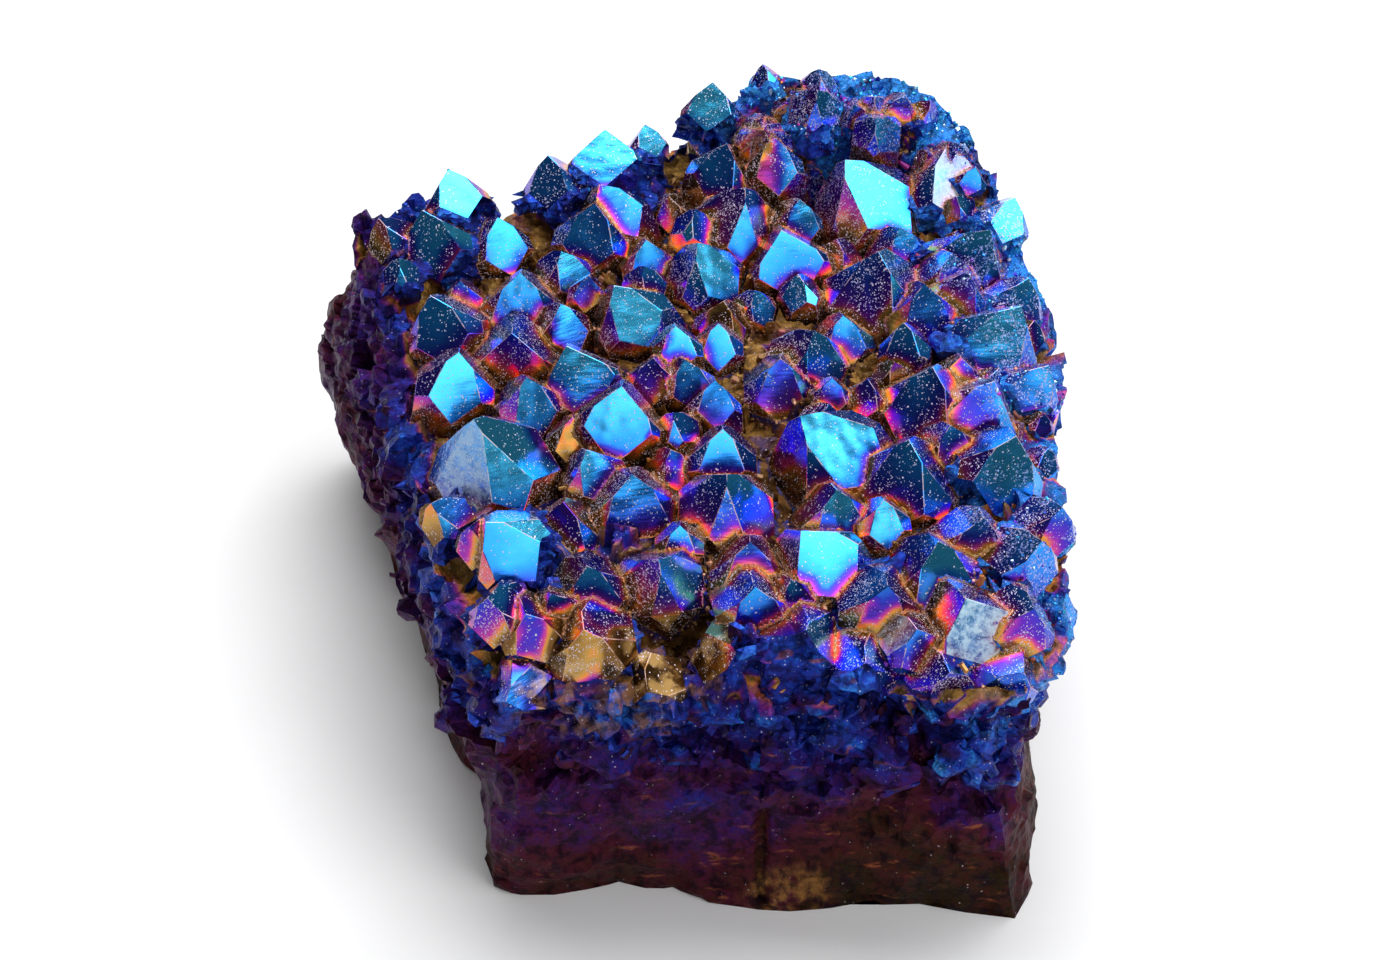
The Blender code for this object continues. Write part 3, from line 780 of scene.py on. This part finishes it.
# The places are in millimetres.
ACCENTS = [  # X, Y, radius, and how much thicker the film is there
    (0.8, 29.2, 3.0, -0.54), (5.8, 8.2, 3.0, -0.54), (-17.9, 17.2, 2.8, -0.51),
    (-24.2, 17.2, 3.4, -0.43), (10.3, 30.2, 3.2, -0.43), (11.8, 26.2, 2.8, -0.43),
    (23.3, -1.8, 3.4, -0.46), (-9.2, -38.8, 3.4, -0.41), (-8.7, -22.3, 3.0, -0.46),
    (-12.7, -12.8, 3.6, -0.49), (-4.2, -39.5, 3.6, -0.49), (0.5, -40.0, 7.0, -0.74),
    (10.3, -19.0, 3.6, -0.49), (10.3, -11.0, 3.6, -0.49), (-11.9, -34.0, 2.4, -0.27),
]
PAINTED_GLARE_PLACES = [  # X, Y and Z of faces painted nearly white as glare, and how much
    (32.0, 30.5, 39.0, 0.95), (30.3, -41.6, 36.5, 1.0), (36.8, -29.2, 36.0, 0.7),
    (20.6, -42.8, 37.5, 0.5), (-19.6, -18.5, 38.0, 0.65), (-29.0, 27.5, 38.0, 0.35)]
SUGARY_RIM = [(20.4, 43.4, 17.0), (33.0, 38.0, 9.0), (39.0, 14.0, 13.0), (41.0, -4.0, 12.0),
              (39.0, -28.0, 13.0), (-31.0, 32.0, 7.0)]
FRONT_BLOCKS = [  # X, Z, width, height and depth of the blocks in the front wall
    (6.0, 26.5, 9.0, 5.5, 5.0), (13.0, 27.5, 9.0, 6.0, 5.0), (19.0, 23.5, 9.5, 5.0, 4.0),
    (25.0, 28.0, 6.0, 5.0, 4.5), (31.0, 27.5, 6.5, 6.0, 5.0), (27.5, 23.0, 7.0, 4.0, 3.5),
    (32.5, 17.5, 6.5, 4.5, 4.0), (21.5, 18.0, 6.0, 3.0, 3.0), (-16.7, 23.5, 4.5, 4.0, 3.5),
    (-12.0, 27.5, 7.0, 4.0, 4.0), (-5.5, 24.5, 6.5, 4.5, 3.0), (0.5, 20.5, 5.0, 3.5, 2.5),
    (9.5, 20.0, 6.0, 3.5, 3.0), (34.0, 22.5, 5.0, 4.5, 4.0), (-9.0, 19.5, 5.0, 3.0, 2.5),
    (-18.5, 28.0, 4.5, 4.0, 4.0),
]
GOLD_PATCHES = [  # X, Y, Z and radius
    (11.5, -45.0, 1.0, 5.0), (14.0, -45.0, 2.5, 4.0), (-10.0, -43.0, 28.0, 7.0), (-3.0, -43.0, 29.0, 6.0),
    (0.0, -40.0, 31.5, 6.5)]
OLIVE_FOOT = (24.0, -45.0, 3.0, 15.0)
FRONT_CRACK = (9.0, 15.0, 0.9)  # X, height of its top, and half its width
BLOCK_ROUNDS = 3  # how often a block's edges are halved
BLOCK_TURNS = (0.35, "Y"), (0.3, "X")  # the largest turn about each axis, in radians
BLOCK_SUNK = 0.12  # how far a block's middle is behind the wall, as a share of its depth


def near_place(point, place):
    """1 at a place in the middle of its radius, fading to 0 at the radius."""
    x, y, z, radius = place
    away = (point / MM - Vector((x, y, z))).length
    return ease(radius, 0.4 * radius, away + noise_at(point, 0.003) * 0.35 * radius)


def near_line(point, x, y, radius, core):
    """1 near an upright line, out to core of its radius, fading to 0 at the radius."""
    return ease(radius, radius * core, math.hypot(point.x / MM - x, point.y / MM - y))


def accent(point):
    shift = 0.0
    for x, y, radius, amount in ACCENTS:
        shift += amount * near_line(point, x, y, radius, 0.4)
    return shift


def wall_level(point):
    """0 at the foot of the walls and 1 at the rim, uneven, higher at the right than at the left."""
    height = height_share(point)
    patch = noise_at(point, 0.010) * 0.6 + noise_at(point, 0.004) * 0.4
    left = ease(*LEFT_WALL, point.x) * (0.34 - 0.24 * ease(0.60, 0.85, height))
    lean = 0.12 * ease(0.0, 0.040, point.x) - left
    low = 0.14 + 0.28 * ease(0.0, 0.24, height + 0.10 * patch)
    high = (0.34 + lean) * ease(0.28, 0.70, height + 0.26 * patch + lean)
    return (low + high + 0.22 * patch) * (1 - 0.75 * near_place(point, OLIVE_FOOT))


def crystal_look(vert, normal, away, open_sky, thicker, dusty):
    """A crystal's film, sugary border and dust, away metres from the nearest valley."""
    # Painted light and shade: faces turned to the front right and above get a thicker, brighter azure film,
    # and faces turned away a thinner, darker one.
    turned = ease(*PAINTED_LIGHT_FACING, normal.dot(PAINTED_LIGHT_FROM))
    film = 0.12 + 0.34 * ease(*FILM_RISE, away) + 0.16 * ease(*FILM_SLOPE, away)
    film += 0.50 * (open_sky - MIDDLE_SKY) + thicker
    film += 0.10 * noise_at(vert.co, FILM_PATCH) + 0.31 * turned - 0.22
    lip = 0.75 * ease(*LIP, vert.co.y)
    in_wall = max(ease(*UNDER_RIM, height_share(vert.co)), lip)
    border_width = bpy.context.scene.aura_crystals.border_width
    return {
        "film": film + (0.57 + 0.22 * noise_at(vert.co, SPARKLE) - film) * in_wall,
        "border": ease(border_width, 0.0, away) * (1 - in_wall),
        "dust": (0.35 + 0.65 * ease(*DUSTY_FACES, dusty)) * (1 - 0.75 * turned)}


def rock_look(vert, away, open_sky, gold):
    """The rock's film, how much it is a floor between crystals, and where chips lie on it."""
    height = height_share(vert.co)
    inside = ease(*FLOOR_SLOPE, vert.normal.z) * ease(*FLOOR_HEIGHT, height)
    inside *= ease(*FLOOR_SKY, open_sky)
    film = inside * (0.04 + 0.30 * open_sky * ease(*FLOOR_FILM, away))
    band = ease(*CHIPS_BEGIN, height) * ease(*CHIPS_END, height)
    band *= 1 - 0.65 * ease(*SIDE_WALLS, abs(vert.co.x))
    clusters = ease(*CLUSTERS, noise_at(vert.co, CLUSTER_SIZE))
    return {
        "film": film + (1 - inside) * (0.44 + 0.26 * wall_level(vert.co)),
        "inside": inside,
        "chip": band * (1 - inside) * clusters * (1 - gold)}


def measure(bm, layers, valleys, rng):
    """Writes each vertex's film, dust and grain masks."""
    bm.verts.index_update()
    sky = smoothed(bm, sky_shares(bm, BVHTree.FromBMesh(bm)), 2)
    facets = {}
    for vert in bm.verts:
        crystal = [face for face in vert.link_faces if face[layers["crystal"]]]
        crystal = [face for face in crystal if not face[layers["edge"]]] or crystal
        away, open_sky = valleys.find(vert.co)[2], sky[vert.index]
        gold = max(near_place(vert.co, place) for place in GOLD_PATCHES)
        if crystal:
            facet = crystal[0][layers["facet"]]
            if facet not in facets:
                facets[facet] = rng.gauss(0, FACET_SPREAD), rng.random()
            look = crystal_look(vert, crystal[0].normal, away, open_sky, *facets[facet])
        else:
            look = rock_look(vert, away, open_sky, gold)
        height = height_share(vert.co)
        crust = crust_share(vert) * (0.45 if crystal else 1.0)
        sparkle = 0.74 + 0.30 * noise_at(vert.co, SPARKLE)
        look["film"] += (sparkle - look["film"]) * crust + accent(vert.co) * (1 - 0.5 * crust)
        look["wall"] = wall_level(vert.co) * (1 - 0.8 * crack_share(vert.co)) + 0.30 * crust
        deep = ease(*DEEP, away) * ease(*DEEP_SKY, open_sky)
        deep *= ease(*ABOVE_RIM, height) * ease(*DEEP_SLOPE, vert.normal.z)
        foot = ease(*FOOT, away) * ease(*FOOT_HEIGHT, height)
        for name, value in {**look, "gold": gold, "crust": crust, "valley": deep, "foot": foot}.items():
            vert[layers[name]] = value


def crust_share(vert):
    """How thick the sugary crust grows: on the back right rim and places along the outer rims."""
    zone = max(near_line(vert.co, *place, 0.6) for place in SUGARY_RIM)
    zone *= ease(0.52, 0.66, height_share(vert.co))
    return zone * ease(-0.3, 0.2, noise_at(vert.co, 0.004))


# ---- operators ------------------------------

ORDER_DIGITS = 7
FACE_LAYERS = {"crystal": "int", "facet": "int", "edge": "float", "frost": "float"}
VERT_LAYERS = ("film", "dust", "border", "inside", "wall", "gold", "valley", "foot", "crust", "chip")


def make_layers(bm):
    layers = {name: getattr(bm.faces.layers, kind).new(name) for name, kind in FACE_LAYERS.items()}
    layers.update({name: bm.verts.layers.float.new(name) for name in VERT_LAYERS})
    return layers


def in_fixed_order(bm, layers):
    """The same mesh, built anew in an order that is the same in every run: a bevel's is not."""
    places = {vert: tuple(round(value, ORDER_DIGITS) for value in vert.co) for vert in bm.verts}
    verts = sorted(bm.verts, key=places.get)
    numbers = {vert: number for number, vert in enumerate(verts)}
    rows = []
    for face in bm.faces:
        ring = [numbers[vert] for vert in face.verts]
        start = ring.index(min(ring))
        rows.append((ring[start:] + ring[:start], [face[layers[name]] for name in FACE_LAYERS]))
    fresh = bmesh.new()
    layers = make_layers(fresh)
    verts = [fresh.verts.new(places[vert]) for vert in verts]
    for ring, values in sorted(rows):
        face = fresh.faces.new([verts[number] for number in ring])
        for name, value in zip(FACE_LAYERS, values):
            face[layers[name]] = value
    bm.free()
    fresh.normal_update()
    return fresh, layers


class AURA_OT_cluster(bpy.types.Operator):
    """Dress the whole cluster: worn crystal edges, broken rock and the film's thickness"""

    bl_idname = "aura.cluster"
    bl_label = "Cluster"

    def execute(self, context):
        crystals, rock = context.scene.aura_crystals, context.scene.aura_rock
        bm = whole_facets()
        layers = make_layers(bm)
        for number, face in enumerate(bm.faces):
            face[layers["facet"]] = number
        for face in crystal_faces(bm):
            face[layers["crystal"]] = 1
        paint_glare_faces(bm, layers)
        wear_edges(bm, layers, crystals.edge_width)
        bm, layers = in_fixed_order(bm, layers)
        valleys = valley_lines(bm, layers)
        refine(bm, layers, valleys, crystals, rock)
        bm.normal_update()
        measure(bm, layers, valleys, random.Random(5))
        displace(bm, layers, rock)
        for face in bm.faces:
            face.material_index = 0 if face[layers["crystal"]] else 1
            face.smooth = False
        druse = plain_object("quartz_druse", to_mesh(bm, "quartz_druse"), [facet_finish(), rock_finish()])
        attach(druse, BODY)
        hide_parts(NODE)
        return {"FINISHED"}


def quartz_point(name, sides, tip, root):
    """A tiny crystal of width 1, its waist at the origin."""
    bm = bmesh.new()
    bmesh.ops.create_cone(bm, cap_ends=True, segments=sides, radius1=0.5, radius2=0.5, depth=root,
                          matrix=Matrix.Translation((0, 0, -root / 2)))
    top = [face for face in bm.faces if face.normal.z > 0.9]
    apex = bmesh.ops.poke(bm, faces=top)["verts"][0]
    apex.co.z += tip
    return bpy.data.objects.new(name, to_mesh(bm, name))


def broken_lump(rng, corners):
    """An angular lump about 1 across, its middle at the origin."""
    bm = bmesh.new()
    for _ in range(corners):
        spot = Vector([rng.gauss(0, 1) for _ in range(3)])
        bm.verts.new(spot.normalized() * rng.uniform(0.42, 0.55))
    hull = bmesh.ops.convex_hull(bm, input=bm.verts)
    bmesh.ops.delete(bm, geom=hull["geom_interior"], context="VERTS")
    bmesh.ops.recalc_face_normals(bm, faces=bm.faces)
    return bm


def chip_shape(name, rng):
    """A flat chip about 1 across."""
    bm = broken_lump(rng, 10)
    bmesh.ops.scale(bm, vec=(1, 1, 0.45), verts=bm.verts)
    return bpy.data.objects.new(name, to_mesh(bm, name))


def scatter_tree(name):
    """Grows a shape on a surface wherever a mask allows it, then makes it one mesh."""
    tree = bpy.data.node_groups.new(name, "GeometryNodeTree")
    graph = Graph(tree)
    floats = ("Density", "Largest", "Smallest", "Tilt", "Film shift", "Film spread")
    sockets = {"Surface": "Geometry", "Shape": "Object", "Mask": "String", "Seed": "Int",
               "Finish": "Material", **dict.fromkeys(floats, "Float")}
    for socket, kind in sockets.items():
        tree.interface.new_socket(socket, in_out="INPUT", socket_type="NodeSocket" + kind)
    tree.interface.new_socket("Grains", in_out="OUTPUT", socket_type="NodeSocketGeometry")
    given = graph.add("NodeGroupInput").beside

    def random_value(low, high, shift, kind="FLOAT", first=2, output=1):
        """For each grain. A number's limits are sockets 2 and 3, a vector's are 0 and 1."""
        return graph.add("FunctionNodeRandomValue", {"data_type": kind}, {
            first: low, first + 1: high, "Seed": given("Seed") + shift}, output)

    def named(attribute):
        return graph.add("GeometryNodeInputNamedAttribute", {"data_type": "FLOAT"}, {"Name": attribute})

    mask = named(given("Mask"))
    points = graph.add("GeometryNodeDistributePointsOnFaces", {"distribute_method": "RANDOM"}, {
        "Mesh": given("Surface"), "Density": given("Density") * mask, "Seed": given("Seed")})
    spread = random_value(-1.0, 1.0, 3) * given("Film spread")
    film = named("film") + given("Film shift") + spread
    painted = points
    for label, value in (("film", film), ("luck", random_value(0.0, 1.0, 4))):
        painted = graph.add("GeometryNodeStoreNamedAttribute", {"data_type": "FLOAT", "domain": "POINT"}, {
            "Geometry": painted, "Name": label, "Value": value})
    turns = random_value((-1, -1, -3), (1, 1, 3), 1, "FLOAT_VECTOR", 0, 0)
    tilt = graph.add("ShaderNodeVectorMath", {"operation": "SCALE"}, {0: turns, "Scale": given("Tilt")})
    turn = graph.add("FunctionNodeRotateRotation", {"rotation_space": "LOCAL"}, {
        "Rotation": points.beside("Rotation"), "Rotate By": tilt})
    luck = random_value(0.0, 1.0, 2)
    size = given("Smallest") + (given("Largest") - given("Smallest")) * luck * luck
    size = size * (mask * 0.5 + 0.5)
    shape = graph.add("GeometryNodeObjectInfo", {}, {"Object": given("Shape")}, "Geometry")
    grown = graph.add("GeometryNodeInstanceOnPoints", {}, {
        "Points": painted, "Instance": shape, "Rotation": turn, "Scale": size})
    real = graph.add("GeometryNodeRealizeInstances", {}, {"Geometry": grown})
    finished = graph.add("GeometryNodeSetMaterial", {}, {"Geometry": real, "Material": given("Finish")})
    graph.add("NodeGroupOutput", {}, {"Grains": finished})
    return tree


def scatter(name, kind, number, shape, finish, smallest, **values):
    """Grows grains of one kind on the dressed cluster and makes them a plain mesh."""
    settings = bpy.context.scene.aura_grains
    largest = getattr(settings, kind + "_size")
    values.update(Shape=shape, Finish=finish, Mask=kind, Largest=largest, Smallest=largest * smallest,
                  Density=getattr(settings, kind + "_density"), Seed=settings.seed + number)
    carrier = plain_object(name + "_carrier", bpy.data.objects["quartz_druse"].data.copy(), [])
    tree = bpy.data.node_groups.get("grow_grains") or scatter_tree("grow_grains")
    modifier = carrier.modifiers.new("grains", "NODES")
    modifier.node_group = tree
    for item in tree.interface.items_tree:
        value = item.name.replace(" ", "_")
        if item.in_out == "INPUT" and value in values:
            modifier[item.identifier] = values[value]
    depsgraph = bpy.context.evaluated_depsgraph_get()
    mesh = bpy.data.meshes.new_from_object(carrier.evaluated_get(depsgraph))
    bpy.data.objects.remove(carrier)
    mesh.name = name
    mesh.materials.clear()
    grains = plain_object(name, mesh, [finish])
    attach(grains, BODY)
    return grains


class AURA_OT_valley_points(bpy.types.Operator):
    """Grow micro points along the valleys between the crystals"""

    bl_idname = "aura.valley_points"
    bl_label = "Valley points"

    def execute(self, context):
        scatter("valley_points", "valley", 0, quartz_point("valley_point", 6, 0.6, 1.6),
                grain_finish("valley_film", 0.5, 0.25, pale=0.2), 0.3,
                Tilt=0.5, Film_shift=-0.04, Film_spread=0.20)
        return {"FINISHED"}


class AURA_OT_foot_grains(bpy.types.Operator):
    """Sugar the feet of the crystals with tiny grains"""

    bl_idname = "aura.foot_grains"
    bl_label = "Foot grains"

    def execute(self, context):
        scatter("foot_grains", "foot", 10, quartz_point("foot_grain", 4, 0.4, 0.5),
                grain_finish("foot_film", 0.45, 0.35, pale=0.55), 0.35,
                Tilt=1.0, Film_shift=0.02, Film_spread=0.14)
        return {"FINISHED"}


class AURA_OT_crust(bpy.types.Operator):
    """Grow the sugary crust along the rims"""

    bl_idname = "aura.crust"
    bl_label = "Sugary crust"

    def execute(self, context):
        # The pale share of the crust grains is painted glare: white sparkle.
        scatter("sugar_crust", "crust", 20, quartz_point("sugar_grain", 6, 0.5, 0.8),
                grain_finish("sugar_film", 0.75, 0.2, pale=0.16, pale_colour="frost"), 0.4,
                Tilt=1.0, Film_shift=0.06, Film_spread=0.26)
        return {"FINISHED"}


class AURA_OT_chips(bpy.types.Operator):
    """Scatter broken chips over the upper walls"""

    bl_idname = "aura.chips"
    bl_label = "Wall chips"

    def execute(self, context):
        rng = random.Random(context.scene.aura_grains.seed)
        scatter("wall_chips", "chip", 40, chip_shape("wall_chip", rng), chip_finish(), 0.25, Tilt=0.35)
        return {"FINISHED"}


def wall_block(rng, place, width, height, depth):
    """A broken lump, turned a little and sunk in the front wall at a place."""
    bm = broken_lump(rng, 12)
    bmesh.ops.scale(bm, vec=Vector((width, depth, height)) * MM, verts=bm.verts)
    roll, lean = (Matrix.Rotation(rng.uniform(-most, most), 3, axis) for most, axis in BLOCK_TURNS)
    bmesh.ops.rotate(bm, matrix=roll @ lean, verts=bm.verts)
    bmesh.ops.translate(bm, vec=place + Vector((0, BLOCK_SUNK * depth * MM, 0)), verts=bm.verts)
    return to_mesh(bm, "block")


class AURA_OT_blocks(bpy.types.Operator):
    """Break blocks out of the front wall under the rim"""

    bl_idname = "aura.blocks"
    bl_label = "Front blocks"

    def execute(self, context):
        rng = random.Random(context.scene.aura_grains.seed)
        druse = bpy.data.objects["quartz_druse"]
        walls = BVHTree.FromPolygons([vert.co for vert in druse.data.vertices],
                                     [face.vertices for face in druse.data.polygons])
        whole = bmesh.new()
        for x, z, *size in FRONT_BLOCKS:
            start = Vector((x * MM, 2 * CAD_BOX[0][1], z * MM))
            place = walls.ray_cast(start, Vector((0, 1, 0)))[0]
            if place is None:
                raise ValueError("a front block misses the wall")
            mesh = wall_block(rng, place, *size)
            whole.from_mesh(mesh)
            bpy.data.meshes.remove(mesh)
        roughen(whole, context.scene.aura_rock)
        mesh = to_mesh(whole, "front_blocks")
        blocks = plain_object("front_blocks", mesh, [bpy.data.materials["coated_rock"]])
        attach(blocks, BODY)
        return {"FINISHED"}


def roughen(bm, settings):
    """Gives blocks a broken surface and the walls' colours."""
    wall = bm.verts.layers.float.new("wall")
    split_long(bm, BLOCK_ROUNDS, lambda edge: settings.spacing)
    bmesh.ops.triangulate(bm, faces=bm.faces)
    bm.normal_update()
    for vert in bm.verts:
        out = chip(vert.co, settings.chip_size * 0.35) * settings.chip_depth * 0.30
        out += noise_at(vert.co, 0.0008) * settings.grain_depth
        vert[wall] = 0.60 + 0.6 * noise_at(vert.co, 0.0030) + 0.14 * max(vert.normal.z, 0)
        vert.co = in_box(vert.co + vert.normal * out)


CAMERA_TARGET = Vector((2.85, -1.34, 20.0)) * MM
FLOOR_SIZE = 3.0
SENSOR_WIDTH = 36.0
SOFTBOXES = {  # azimuth and elevation in degrees, distance, size, which power, and its share
    "right_softbox": (60, 44, 0.50, (0.34, 0.30), "key_power", 1.0),
    "front_softbox": (8, 28, 0.50, (0.26, 0.20), "key_power", 0.3),
    "left_fill": (-60, 16, 0.60, (0.30, 0.24), "key_power", 0.22),
    "back_softbox": (172, 62, 0.80, (0.80, 0.70), "back_power", 1.0),
}


def aimed(name, data, out, distance):
    """A light or camera that looks at the cluster from a direction and distance."""
    obj = bpy.data.objects.new(name, data)
    obj.location = CAMERA_TARGET + out * distance
    obj.rotation_euler = out.to_track_quat("Z", "Y").to_euler()
    bpy.context.scene.collection.objects.link(obj)
    return obj


class AURA_OT_stage(bpy.types.Operator):
    """Set out the floor, the softboxes and the camera"""

    bl_idname = "aura.stage"
    bl_label = "Studio"

    def execute(self, context):
        settings = context.scene.aura_studio
        bm = bmesh.new()
        bmesh.ops.create_grid(bm, x_segments=1, y_segments=1, size=FLOOR_SIZE / 2)
        plain_object("studio_floor", to_mesh(bm, "studio_floor"), [floor_finish()])
        for name, (azimuth, elevation, distance, size, power, share) in SOFTBOXES.items():
            light = bpy.data.lights.new(name, "AREA")
            light.shape = "RECTANGLE"
            light.size, light.size_y = size
            light.energy = getattr(settings, power) * share
            aimed(name, light, direction(math.radians(azimuth), math.radians(elevation)), distance)
        world = bpy.data.worlds.new("studio_sky")
        world.use_nodes = True
        background = world.node_tree.nodes["Background"]
        background.inputs["Color"].default_value = (*settings.sky, 1.0)
        background.inputs["Strength"].default_value = settings.sky_strength
        context.scene.world = world
        camera = bpy.data.cameras.new("camera")
        camera.sensor_width = SENSOR_WIDTH
        camera.lens = settings.camera_lens
        camera.clip_start = 0.01
        context.scene.camera = aimed("camera", camera, direction(0, settings.camera_elevation),
                                     settings.camera_distance)
        context.scene.view_settings.view_transform = "Standard"
        return {"FINISHED"}


OPERATORS = [AURA_OT_stage, AURA_OT_cluster, AURA_OT_valley_points, AURA_OT_foot_grains, AURA_OT_crust,
             AURA_OT_chips, AURA_OT_blocks]


class AURA_PT_sidebar(bpy.types.Panel):
    """Lists the cluster's settings and what builds each part of it"""

    bl_idname = "AURA_PT_sidebar"
    bl_label = "Aura Quartz"
    bl_space_type = "VIEW_3D"
    bl_region_type = "UI"
    bl_category = "Aura Quartz"

    def draw(self, context):
        for operator in OPERATORS:
            self.layout.operator(operator.bl_idname)
        for name, group in SETTINGS.items():
            box = self.layout.box()
            for prop in group.__annotations__:
                box.prop(getattr(context.scene, name), prop)


def register():
    for group in [*SETTINGS.values(), *OPERATORS, AURA_PT_sidebar]:
        bpy.utils.register_class(group)
    for name, group in SETTINGS.items():
        setattr(bpy.types.Scene, name, PointerProperty(type=group))


def unregister():
    for name in SETTINGS:
        delattr(bpy.types.Scene, name)
    for group in reversed([*SETTINGS.values(), *OPERATORS, AURA_PT_sidebar]):
        bpy.utils.unregister_class(group)


def main():
    register()
    bpy.ops.aura.stage()
    bpy.ops.aura.cluster()
    bpy.ops.aura.valley_points()
    bpy.ops.aura.foot_grains()
    bpy.ops.aura.crust()
    bpy.ops.aura.chips()
    bpy.ops.aura.blocks()


if __name__ == "__main__":
    main()
